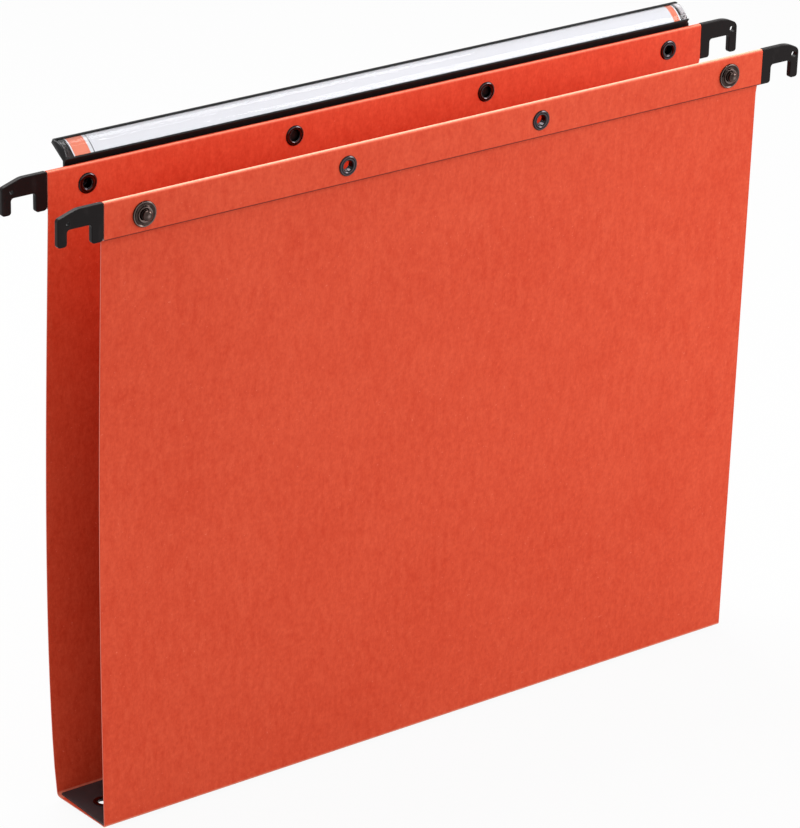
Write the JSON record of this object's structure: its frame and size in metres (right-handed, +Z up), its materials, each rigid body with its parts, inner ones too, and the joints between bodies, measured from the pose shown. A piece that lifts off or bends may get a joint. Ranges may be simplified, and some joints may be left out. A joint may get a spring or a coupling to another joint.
{
  "type": "hanging file folder",
  "caption": "Hanging file folder of folded orange card with railed hems, black hook ends, press studs and a sloping label holder under a clear arched cover.",
  "frame": {"origin": "middle of the base's underside", "axes": "+X along the creases, to the right seen from the front; +Y to the back panel with the label; +Z up"},
  "size_m": [0.3484, 0.0524, 0.2627],
  "materials": {
    "orange_card": "matte",
    "black_board": "matte",
    "rail_steel": "satin",
    "black_plastic": "satin",
    "black_metal": "gloss",
    "spring_wire": "satin",
    "clear_plastic": "clear",
    "label_paper": "matte"
  },
  "bodies": {
    "base": {"base_card": "orange_card", "base_stiffener": "black_board", "base_eyelet_left": "black_metal", "base_eyelet_right": "black_metal"},
    "front": {"front_panel": "orange_card", "front_rail": "rail_steel", "front_hook_left": "black_plastic", "front_hook_right": "black_plastic", "front_stud_left": "black_metal", "front_stud_right": "black_metal", "front_rivet_left": "black_metal", "front_rivet_right": "black_metal", "front_eyelet_left": "black_metal", "front_eyelet_right": "black_metal"},
    "back": {"back_panel": "orange_card", "back_rail": "rail_steel", "back_hook_left": "black_plastic", "back_hook_right": "black_plastic", "back_socket_left": "black_metal", "back_socket_right": "black_metal", "back_spring_left": "spring_wire", "back_spring_right": "spring_wire", "back_rivet_left": "black_metal", "back_rivet_right": "black_metal", "back_eyelet_left": "black_metal", "back_eyelet_right": "black_metal", "label_holder": "black_plastic", "label_window": "clear_plastic"},
    "label": {"label_strip": "label_paper"}
  },
  "joints": [
    {"name": "front_fold", "type": "hinge", "parent": "base", "child": "front", "pos_m": [0, -0.0153, 0.0002], "axis": [1, 0, 0], "range_deg": [-3.8, 88]},
    {"name": "back_fold", "type": "hinge", "parent": "base", "child": "back", "pos_m": [0, 0.0153, 0.0002], "axis": [-1, 0, 0], "range_deg": [-3.8, 86]},
    {"name": "label_slide", "type": "slide", "parent": "back", "child": "label", "axis": [1, 0, 0], "range_m": [-0.0035, 0.28]}
  ]
}
